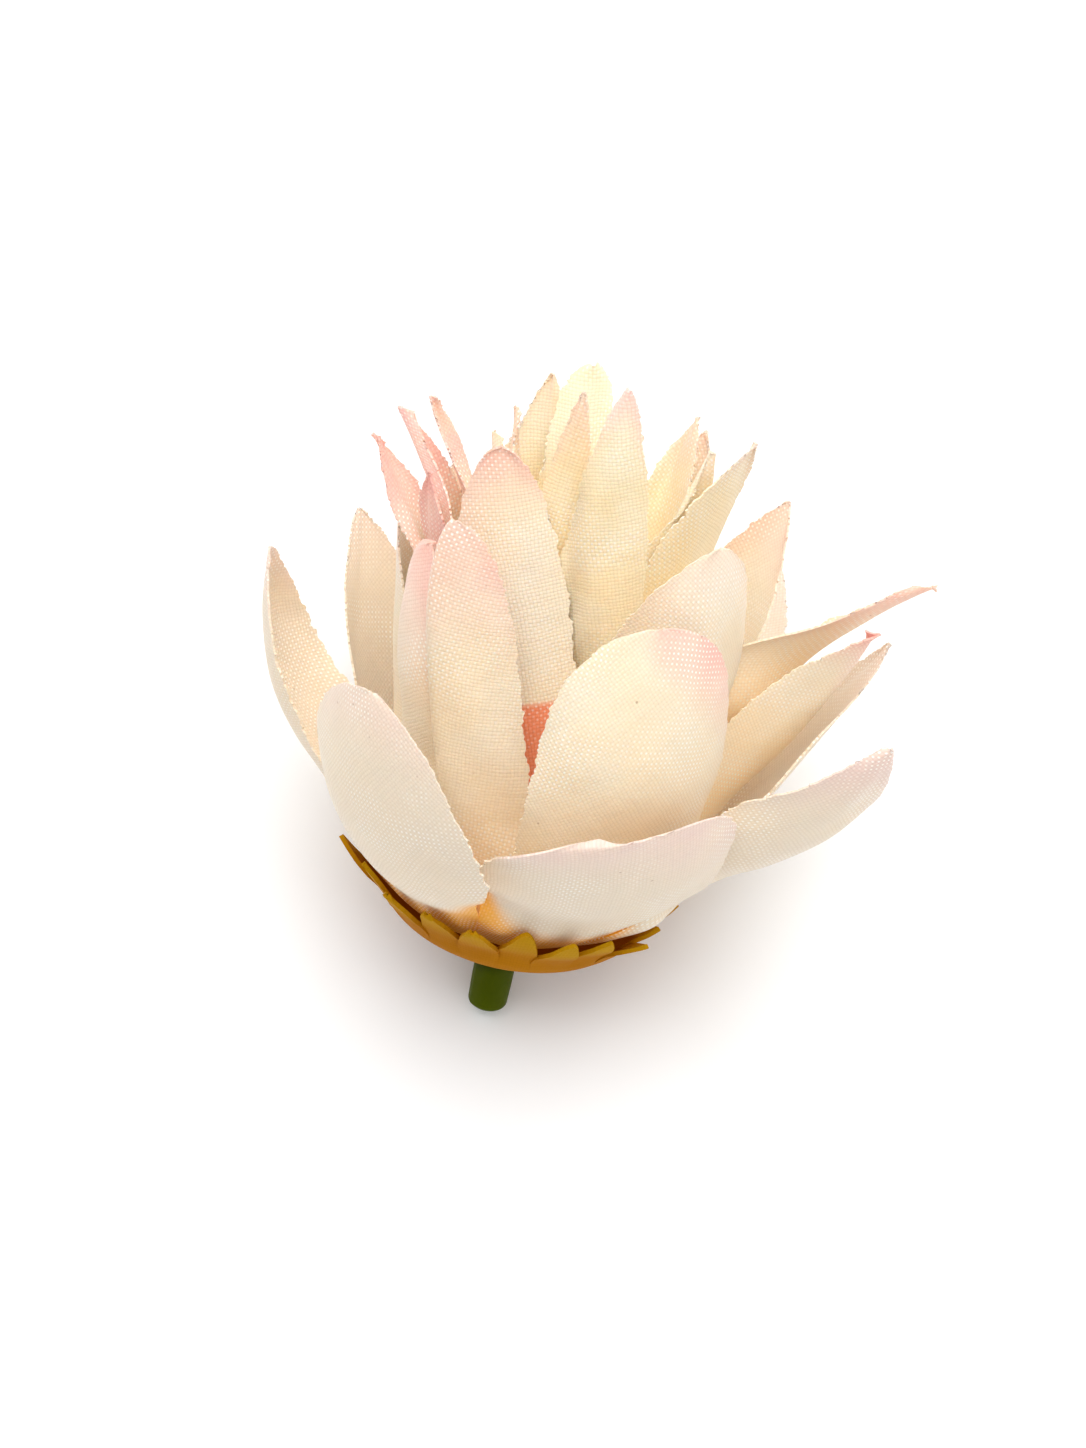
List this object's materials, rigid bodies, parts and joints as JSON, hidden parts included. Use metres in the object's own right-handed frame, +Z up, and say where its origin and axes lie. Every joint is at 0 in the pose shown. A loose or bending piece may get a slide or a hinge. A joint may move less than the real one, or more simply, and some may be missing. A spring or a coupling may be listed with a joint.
{
  "type": "artificial lotus flower head",
  "caption": "Artificial lotus flower head: layered woven cloth petals, cupped and pointed, in a toothed ochre calyx cup on a short round green stem stub.",
  "frame": {"origin": "on the surface that the flower lies on, under the middle of its outline", "axes": "+Z up from the surface; the flower lies leaning back towards +Y and opens upward, its stub points towards -Y and down; +X across the flower"},
  "size_m": [0.0744, 0.0684, 0.0628],
  "materials": {
    "stem_green": "moulded, satin",
    "calyx_ochre": "stiffened cloth, mustard ochre",
    "cloth_pale": "plain weave, pale cream with faint mauve tips",
    "cloth_cream": "plain weave, warm cream with pink tips",
    "cloth_yellow": "plain weave, yellow to pink at the tips",
    "cap_cream": "moulded"
  },
  "bodies": {
    "root": {"stem_stub": "stem_green", "calyx": "calyx_ochre", "petals_outer": "cloth_pale", "petals_second": "cloth_cream", "petals_third": "cloth_cream", "petals_fourth": "cloth_yellow", "petals_inner": "cloth_yellow", "cap": "cap_cream"}
  },
  "joints": []
}
